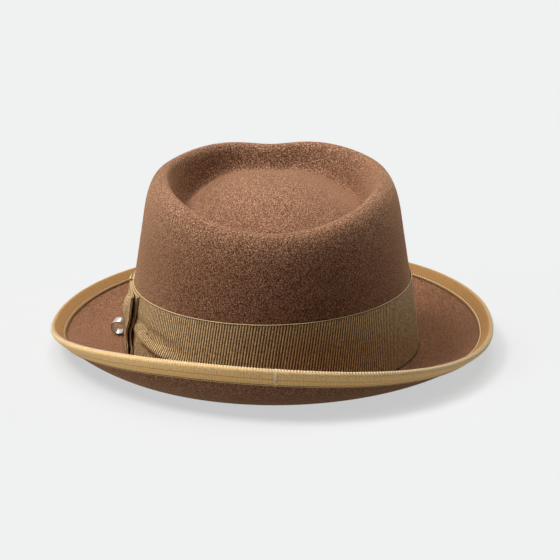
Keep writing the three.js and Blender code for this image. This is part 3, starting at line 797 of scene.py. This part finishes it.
def brim_binding():
    angle = evenly(1440, math.pi / 2)
    along, lift, faces = binding_outline()
    length, total = ring_length(angle, 45.0)
    ripple = 0.05 * soft_along(length, 13.0, 11)
    overlap = 0.3 * np.exp(-length / 9.0)[:, None]
    outside = np.where(np.arange(len(lift)) < faces, 1.0, 0.0)[None, :]
    side = np.sign(lift + FELT / 2)[None, :]
    width = around(angle, BRIM_WIDTH)[:, None]
    at_edge = smoothstep(-5.0, -BINDING_WIDTH, along)[None, :]
    edge_wave = 0.16 * soft_along(length, 60.0, 12) * at_edge
    raised = outside * side * (overlap + ripple * smoothstep(-6.5, -3.0, along)[None, :])
    grid = off_brim(angle, width + along + edge_wave, lift + raised)
    across = run_along(along, lift)
    across[faces:] = across[faces - 1] / 2
    across *= BINDING_FULL_WIDTH / across[faces - 1]
    ribs = whole_pitches(length, total, BINDING_RIB)[:, None]
    weave = weave_of(ribs, across[None, :], 0.0, BINDING_FULL_WIDTH)
    ring_piece("ribbon_binding", [grid], BINDING_LOOK, "brim_binding", [weave])


def binding_seam(name, side, node_name):
    """One face's row of lockstitches, sunk in the seam: side is 1 on top and -1 under."""
    angle, count = stitch_angles(40.0, 2.2, math.pi / 2 + 0.01)
    share = np.tile(STITCH_SHARE, count)
    lift = BINDING_FACE - SEAM_DEPTH + 0.2 - 0.24 * (2 * share) ** 2
    lift = lift if side > 0 else -FELT - lift
    along = around(angle, BRIM_WIDTH) - SEAM_IN + 0.1 + 1.1 * share
    paths = off_brim(angle, along[:, None], lift[:, None])
    thread_piece(name, paths, STITCH_RADIUS, TAN_THREAD, node_name)


def binding_join():
    """Zigzag under the binding's overlapped ends at the centre of the back."""
    share, angle = zigzag_turns(9, 0.95 / 1.75)
    along = around(angle, BRIM_WIDTH) - BINDING_WIDTH + 0.9 + share * (BINDING_WIDTH - 1.2)
    lift = -FELT - BINDING_FACE - 0.35 - 0.1 * smoothstep(0.15, 0.6, share)
    knots = off_brim(angle, along[:, None], lift[:, None])[:, 0]
    paths = zigzag_stitches(knots, [0.0, 0.25, -0.25])
    thread_piece("join_tack_stitches", paths, 0.24, PALE_THREAD, "binding_join_tack")


# ---- hat band ----

BAND_BOTTOM, BAND_PROUD, BAND_BACK = 0.3, 0.8, 0.33


def band_fold(angle, z):
    """How far the band stands off beside the bow, where it is drawn into a slanting fold."""
    place = np.degrees(angle)
    line = 19.0 - 0.25 * (place - 18.0)
    above = z - line
    start = 1.2 * smoothstep(6.0, 18.0, place) + 1.2 * smoothstep(20.0, 29.0, place)
    strength = start * (1 - smoothstep(36.0, 64.0, place))
    ridge = hump(above, 0, np.where(above > 0, 3.8, 1.8))
    return strength * (ridge - 0.3 * hump(above, 7.5, 2.6) + 0.16 * hump(above, 13.0, 2.4))


def hat_band():
    ribs = 334
    angle = evenly(ribs * 6, BOW_MIDDLE)
    length, total = ring_length(angle, 1.0)
    along = whole_pitches(length, total, RIB_PITCH)[:, None]
    top = (BAND_TOP - BAND_LOWER_AT_BOW * np.cos(angle))[:, None]
    share = np.r_[0, 0.008, 0.02, 0.035, np.linspace(0.06, 0.94, 22), 0.965, 0.98, 0.992, 1]
    z = BAND_BOTTOM + share[None, :] * (top - BAND_BOTTOM)
    to_edge = np.minimum(z - BAND_BOTTOM, top - z)
    bead = 0.22 * hump(to_edge, 0.35, 0.3) - 0.16 * hump(to_edge, 0.95, 0.25)
    wave = 0.055 * np.sin(2 * math.pi * (along + RIB_SLANT * z) / RIB_PITCH)
    wave *= smoothstep(0.6, 1.3, to_edge)
    round_off = -0.3 * hump(to_edge, 0, 0.12)
    proud = BAND_PROUD + bead + wave + round_off + band_fold(angle[:, None], z)
    back = z[:, ::-4]
    inner = off_wall(angle, back, BAND_BACK + band_fold(angle[:, None], back) * 0.9)
    parts = [off_wall(angle, z, proud), inner]
    weave = [weave_of(along + RIB_SLANT * rise, rise, BAND_BOTTOM, top) for rise in (z, back)]
    ring_piece("grosgrain_hat_band", parts, BAND_LOOK, "hat_band", weave)


# ---- bow ----

def on_bow(length, z, proud):
    """Points of the bow, in arrays of any shape, at a length along the band, which is 0 at the
    knot and positive to the rear, a height, and a distance proud of the wall."""
    angles = np.linspace(BOW_MIDDLE - 1.0, BOW_MIDDLE + 1.0, 400)
    lengths = arc_length(angles, 1.5)
    lengths -= np.interp(BOW_MIDDLE, angles, lengths)
    length, z, proud = np.broadcast_arrays(length, z, proud)
    angle = np.interp(length.ravel(), lengths, angles)
    return off_wall(angle, z.reshape(-1, 1), proud.reshape(-1, 1))[:, 0].reshape(*z.shape, 3)


def bow_bulge(share, z):
    past_knot = np.clip((np.abs(share) - 0.2) / 0.8, 0, 1)
    away = np.abs(z - BULGE_HEIGHT) / BULGE_SPREAD
    return BULGE_REACH * np.exp(-(away**3)) * np.sin(math.pi * past_knot) ** 2


def bow_lift(length, z):
    """The bow's rear end rides up over the fold in the band."""
    return 1.4 * smoothstep(8.0, 36.0, length) * hump(z, 16.0, 6.5)


def end_turn(start, end, turn):
    """A half circle from one layer to another: how far it reaches out, and how proud."""
    half = (start - end) / 2
    return half * np.sin(turn), (start + end) / 2 + half * np.cos(turn)


def bow_ribbon(name, node_name, places, push, weave):
    """A ribbon of the bow: the places of its middle layer are pushed both ways."""
    parts = [
        on_bow(*(at + side * move for at, move in zip(places, push)))[:, ::side]
        for side in (1, -1)
    ]
    weave = [weave, weave[:, ::-1]]
    ring_piece(name, parts, BAND_LOOK, node_name, weave)


def ribbon_loop(name, low, high, reach, puffed, node_name):
    """A flattened loop of ribbon on the band, its ends folded back on themselves."""
    runs, turns = 81, 7
    rise = np.r_[0, 0.008, 0.022, np.linspace(0.05, 0.95, 19), 0.978, 0.992, 1][None, :]
    z = BOW_BOTTOM + rise * (BOW_TOP - BOW_BOTTOM)
    run = np.linspace(-1, 1, runs)[:, None]
    turn = np.linspace(0, math.pi, turns + 2)[1:-1, None]
    waist = hump(rise, 0.3, np.where(rise > 0.3, 0.3, 0.19))
    ends = reach + np.where(run > 0, 0.6 + rise - 4.2 * waist, 0.0)
    flared = puffed * np.abs(run) ** 5 * (2.4 - 1.3 * waist)
    opened = 0.8 * np.abs(run) ** 10
    outward = high + opened + puffed * bow_bulge(run, z) + flared
    inward = low + flared + 0.0 * z
    rear_s, rear_p = end_turn(outward[-1], inward[-1], turn)
    front_s, front_p = end_turn(inward[0], outward[0], turn)
    s = np.concatenate([run * ends, ends[-1] + rear_s, (run * ends)[::-1], front_s - reach])
    p = np.concatenate([outward, rear_p, inward[::-1], front_p])
    p = p + bow_lift(s, z)
    to_edge = np.minimum(z - BOW_BOTTOM, BOW_TOP - z)
    bead = 0.5 * hump(to_edge, 0.4, 0.3) - 0.6 * hump(to_edge, 0, 0.1)
    push_s, push_p = push_off(s, p, BOW_HALF_THICK * (1 + bead))
    run_length = run_along(s, p)
    weave = weave_of(run_length, z + 0.0 * s, BOW_BOTTOM, BOW_TOP)
    # the folded ends get the edge's painted highlight, with painted shade in a narrow channel
    # beside it
    for end in (runs + turns // 2, len(s) - turns // 2 - 1):
        weave[..., 2] = np.minimum(weave[..., 2], np.abs(run_length - run_length[end]))
    bow_ribbon(name, node_name, (s, z, p), (push_s, 0.0, push_p), weave)


def bow_knot():
    """The short ribbon wrapped round the middle of both loops, with two soft pleats."""
    across = np.linspace(-1, 1, 33)[None, :]
    front, fold = 40, 8
    low, high = BOW_BOTTOM - 0.6, BOW_TOP + 0.6
    back, face = 0.98, 2.82
    rise = np.linspace(low, high, front)[:, None]
    level = (rise - low) / (high - low)
    turn = np.linspace(0, math.pi, fold + 2)[1:-1, None]
    past = 0.35 * np.sin(turn)
    z = np.concatenate([rise, high + past, rise[::-1], low - past]) + 0.0 * across
    over, under = end_turn(face, back, turn)[1], end_turn(back, face, turn)[1]
    p = np.concatenate([face + 0 * rise, over, back + 0 * rise, under]) + 0.0 * across
    pillow = 0.3 * (1 - across**4) + 0.14 * np.cos(2 * math.pi * across) - 0.14
    pleat = np.zeros_like(p)
    pleat[:front] = pillow * np.sin(math.pi * np.clip(level, 0.03, 0.97)) ** 0.3
    bead = 0.5 * hump((1 - np.abs(across)) * KNOT_REACH, 0.4, 0.4)
    push_z, push_p = push_off(z, p, KNOT_HALF_THICK * (1 + bead))
    waist = 1 - 0.05 * np.sin(math.pi * np.clip((z - low) / (high - low), 0, 1))
    places = across * KNOT_REACH * waist, z, p + pleat
    weave = weave_of(run_along(z, p), KNOT_REACH * across, -KNOT_REACH, KNOT_REACH)
    bow_ribbon("bow_centre_wrap", "bow_knot", places, (0.0, push_z, push_p), weave)


# ---- ring and its thread ----

RING_OUTER, RING_INNER, RING_HALF = 4.6, 3.85, 2.8
RING_BEVEL, RING_CROWN = 0.14, 0.12
CAD_BORE = 4.0  # the part's bore, which the thread loop is placed by
THREAD_CLEAR, THREAD_HALF = 0.35, 0.3
PLY_OFFSET, PLY_RADIUS, PLY_PITCH = 0.13, 0.16, 1.6


def joint_place(name):
    """A joint's (point, axis) from the record, in hat millimetres."""
    joint = next(j for j in frame["record"]["behaviour"]["joints"] if j["name"] == name)
    point = np.array(joint["pos_m"]) / MM - (*CENTRE, BRIM_TOP)
    axis = np.array(joint["axis"], float)
    return point, axis / np.linalg.norm(axis)


def ring_directions():
    """Ring's centre, axis, direction to its tack, the direction square to both, and the reach."""
    centre, axis = joint_place("ring_turn")
    tack = joint_place("ring_swing")[0]
    radial = tack - centre
    radial -= axis * (radial @ axis)
    reach = np.linalg.norm(radial)
    radial /= reach
    return centre, axis, radial, np.cross(axis, radial), reach


def knot_ring():
    centre, axis, radial, other, _ = ring_directions()
    turn = evenly(144)
    corner = np.linspace(0, math.pi / 2, 5)
    radius, along = [], []
    for quarter, (r, a) in enumerate(((1, -1), (1, 1), (-1, 1), (-1, -1))):
        start = -math.pi / 2 + quarter * math.pi / 2 + corner
        edge = RING_OUTER - RING_BEVEL if r > 0 else RING_INNER + RING_BEVEL
        radius.append(edge + RING_BEVEL * np.cos(start))
        along.append(a * (RING_HALF - RING_BEVEL) + RING_BEVEL * np.sin(start))
    radius, along = np.concatenate(radius), np.concatenate(along)
    crown = RING_CROWN * (1 - (along / RING_HALF) ** 2)
    crowned = radius + np.where(radius > (RING_OUTER + RING_INNER) / 2, crown, 0)
    spokes = radial * np.cos(turn)[:, None] + other * np.sin(turn)[:, None]
    grid = centre + spokes[:, None] * crowned[None, :, None] + axis * along[None, :, None]
    ring_piece("polished_ring", [grid], SILVER, "knot_ring", body="ring")


def ring_thread():
    """Two plies twisted together in a flat loop through the ring."""
    centre, axis, radial, other, reach = ring_directions()
    near = CAD_BORE - THREAD_CLEAR - THREAD_HALF
    half = RING_HALF + THREAD_CLEAR + THREAD_HALF
    middle, height = (near + reach) / 2, (reach - near) / 2
    turn = evenly(180)
    c, s = np.cos(turn), np.sin(turn)
    along = half * np.sign(c) * np.abs(c) ** 0.4
    outward = middle + height * np.sign(s) * np.abs(s) ** 0.4
    path = centre + radial * outward[:, None] + axis * along[:, None]
    step = np.linalg.norm(np.roll(path, -1, 0) - path, axis=1)
    length = np.cumsum(step) - step
    twists = round(step.sum() / PLY_PITCH)
    inward = path - (centre + radial * middle)
    inward /= np.linalg.norm(inward, axis=1, keepdims=True)
    for ply, node_name in enumerate(("ring_thread_loop", None)):
        phase = 2 * math.pi * twists * length / step.sum() + ply * math.pi
        offset = inward * np.cos(phase)[:, None] + other * np.sin(phase)[:, None]
        grid = tube_points(path + PLY_OFFSET * offset, PLY_RADIUS, 8, True)
        name = f"ring_thread_ply_{ply + 1}"
        ring_piece(name, [grid], BROWN_THREAD, node_name, body="ring_thread")


# ---- inside of the hat ----

LINING_FACE = FELT + 0.35
LEATHER_BACK, LEATHER_FACE = 3.85, 4.85
LEATHER_BOTTOM, LEATHER_TOP = 3.0, 40.0
REED_HEIGHT, REED_DEPTH, REED_RADIUS = 1.1, 4.3, 0.7
TAPE_TOP, TAPE_HALF_THICK = 8.0, 0.15
SEAM_BOW_HEIGHT, SEAM_BOW_REACH = 9.0, 8.0
LINING_BOTTOM, LINING_RISE, LINING_RIM = 9.0, 54.0, 64.15
TIP_RISE, TIP_THICK = 7.0, 0.4
PIPING_RADIUS = 0.78


def wall_cord(angle, height, depth, radius, sides):
    """A round cord along the inside of the wall, as a grid."""
    turn = evenly(sides)
    cord = off_wall(angle, height, radius * np.cos(turn)[None, :] - depth)
    cord[..., 2] = height + radius * np.sin(turn)[None, :]
    return cord


def sweatband():
    angle = evenly(720, math.pi / 2)
    length = ring_length(angle, -4.0)[0]
    share = np.r_[0, 0.01, 0.03, np.linspace(0.07, 0.93, 16), 0.97, 0.99, 1][None, :]
    z = LEATHER_BOTTOM + share * (LEATHER_TOP - LEATHER_BOTTOM)
    ease = (0.5 + 0.35 * soft_along(length, 70.0, 5)) * smoothstep(0.3, 1.0, share) * 1.6
    crease = 0.18 * hump(z - LEATHER_BOTTOM, 4.2, 0.5)
    rounding = 0.35 * hump(np.minimum(z - LEATHER_BOTTOM, LEATHER_TOP - z), 0, 0.2)
    slit = 0.5 * hump(np.minimum(length, length[-1] - length)[:, None], 0, 0.5)
    face = off_wall(angle, z, -(LEATHER_FACE + ease - crease - rounding - slit))
    back = off_wall(angle, z[:, ::-3], -(LEATHER_BACK + ease[:, ::-3]))
    ring_piece("leather_sweatband", [face, back], LEATHER, "sweatband")


def sweatband_stitches():
    angle, count = stitch_angles(-5.0, 3.2, math.pi / 2)
    depth = np.tile(LEATHER_FACE + 0.12 - 0.26 * (2 * STITCH_SHARE) ** 2, count)
    paths = off_wall(angle, LEATHER_BOTTOM + 1.4, -depth[:, None])
    thread_piece("sweatband_lockstitch", paths, STITCH_RADIUS, TAN_THREAD, "sweatband_stitching")


def sweatband_seam():
    share, angle = zigzag_turns(16, 1.2)
    z = 16.0 + share * 21.0
    ease = 0.8 * smoothstep(0.3, 1.0, (z - LEATHER_BOTTOM) / (LEATHER_TOP - LEATHER_BOTTOM))
    knots = off_wall(angle, z[:, None], -(LEATHER_FACE + 0.1 + ease)[:, None])[:, 0]
    paths = zigzag_stitches(knots, [0.0, -0.2, 0.0])
    thread_piece("sweatband_seam_zigzag", paths, STITCH_RADIUS, TAN_THREAD, "sweatband_seam")


def seam_bow():
    """A small flat bow: two puffed loops drawn in at the middle, and its wrap."""
    share = np.linspace(-1, 1, 61)
    turn = evenly(20)
    away = np.abs(share)
    pinch = 0.34 + 0.66 * smoothstep(0.05, 0.5, away) - 0.12 * smoothstep(0.8, 1.0, away)
    wrap = np.exp(-((share / 0.1) ** 4))
    puff = 0.34 + 0.42 * np.sin(math.pi * away) ** 2 + 0.35 * wrap
    puff *= np.sqrt(np.clip(1 - away**16, 0.02, 1))
    half = (3.2 * np.maximum(pinch, 0.5 * wrap))[:, None]
    z = SEAM_BOW_HEIGHT + half * np.sign(np.cos(turn)) * np.abs(np.cos(turn)) ** 0.7
    depth = LEATHER_FACE + 0.85 + puff[:, None] * np.sin(turn)[None, :] * 0.9
    angle = math.pi / 2 - share * SEAM_BOW_REACH / HALF_WIDTH
    points = off_wall(angle, z, -depth).reshape(-1, 3)
    faces = capped_tube(len(share), len(turn))
    along = np.repeat(share * SEAM_BOW_REACH, len(turn))
    weave = np.stack([along, z.ravel(), np.full(along.shape, 2.0)], -1)
    name = "sweatband_back_bow"
    make_piece(name, points, faces, BAND_LOOK, "sweatband_seam_bow", weave)


def reed():
    core = wall_cord(evenly(360), REED_HEIGHT, REED_DEPTH, REED_RADIUS, 14)
    ring_piece("reed_core", [core], REED_LOOK, "sweatband_reed")


def reed_tape():
    """The tape from behind the leather, round under the reed and up its other side."""
    angle = evenly(360)
    wrap = REED_RADIUS + 0.42
    bend = np.linspace(0, math.pi, 12)
    depth = np.r_[0, REED_DEPTH - wrap * np.cos(bend), REED_DEPTH + wrap]
    depth[:2] = LINING_FACE + 0.17
    height = np.r_[TAPE_TOP, REED_HEIGHT - wrap * np.sin(bend), REED_HEIGHT + 1.2]
    middle = np.stack([depth, height], -1)
    tangent = np.gradient(middle, axis=0)
    normal = np.stack([tangent[:, 1], -tangent[:, 0]], -1)
    push = TAPE_HALF_THICK * (normal / np.linalg.norm(tangent, axis=1)[:, None])
    outline = np.concatenate([middle + push, (middle - push)[::-1]])
    grid = off_wall(angle, outline[None, :, 1], -outline[None, :, 0])
    ring_piece("reed_cloth_tape", [grid], TAPE_LOOK, "reed_tape")


def lining_side(angle, length):
    share = np.linspace(0, 1, 16)[None, :]
    gathered = smoothstep(0.55, 1.0, share)
    z = LINING_BOTTOM + share * LINING_RISE
    gather = 0.32 * np.sin(2 * math.pi * length / (length[-1] / 92))[:, None] * gathered
    slack = 0.5 * (1 + soft_along(length, 90.0, 8)) * np.sin(math.pi * share)
    slack *= smoothstep(0.55, 0.9, share)
    face = off_wall(angle, z, -(LINING_FACE + 0.4 + slack + gather + 0.3 * gathered))
    back = off_wall(angle, z[:, ::-2], -LINING_FACE)
    side = ring_piece("satin_lining_side", [face, back], SATIN, "lining_side")


def lining_tip(angle, length):
    rim = off_wall(angle, LINING_RIM, -(LINING_FACE + 1.95))
    reach = np.linspace(0.03, 1, 26)[None, :]
    pucker = 0.3 * np.sin(2 * math.pi * length / (length[-1] / 70))[:, None]
    pucker = pucker * smoothstep(0.72, 1.0, reach)
    height = LINING_RIM + TIP_RISE * (1 - reach**2) + pucker
    top = np.stack([rim[..., 0] * reach, rim[..., 1] * reach, height], -1)
    low = top - (0, 0, TIP_THICK)
    poles = [(0, 0, LINING_RIM + TIP_RISE), (0, 0, LINING_RIM + TIP_RISE - TIP_THICK)]
    parts = [top, low[:, ::-1]]
    tip = bowl_piece("satin_lining_tip", parts, poles, SATIN, "lining_tip")


def lining_piping(angle, length):
    sides = 10
    cord = wall_cord(angle, LINING_RIM, LINING_FACE + 0.8, PIPING_RADIUS, sides)
    # as if in the middle of a strip 22 mm wide, away from the look's edges
    across = 11.0 + 0.3 * np.sin(evenly(sides))[None, :]
    weave = weave_of(length[:, None], across, 0.0, 22.0)
    ring_piece("lining_seam_piping", [cord], BINDING_LOOK, "lining_piping", [weave])


def lining():
    """A gathered side strip, a slightly domed tip, and the piping between them."""
    angle = evenly(720)
    length = ring_length(angle, -4.0)[0]
    lining_side(angle, length)
    lining_tip(angle, length)
    lining_piping(angle, length)


# ---- the scene ----

make_camera()
make_world()
for sun in SUNS:
    make_sun(*sun)
make_floor()

felt_body()
brim_binding()
binding_seam("binding_stitches_upper", 1, "binding_stitch_upper")
binding_seam("binding_stitches_under", -1, "binding_stitch_under")
binding_join()
hat_band()
ribbon_loop("bow_inner_ribbon", 1.12, 1.54, BOW_REACH, 0.0, "bow_inner_loop")
ribbon_loop("bow_outer_ribbon", 1.98, 2.4, BOW_REACH - 0.8, 1.0, "bow_outer_loop")
bow_knot()
knot_ring()
ring_thread()
sweatband()
sweatband_stitches()
sweatband_seam()
seam_bow()
reed()
reed_tape()
lining()
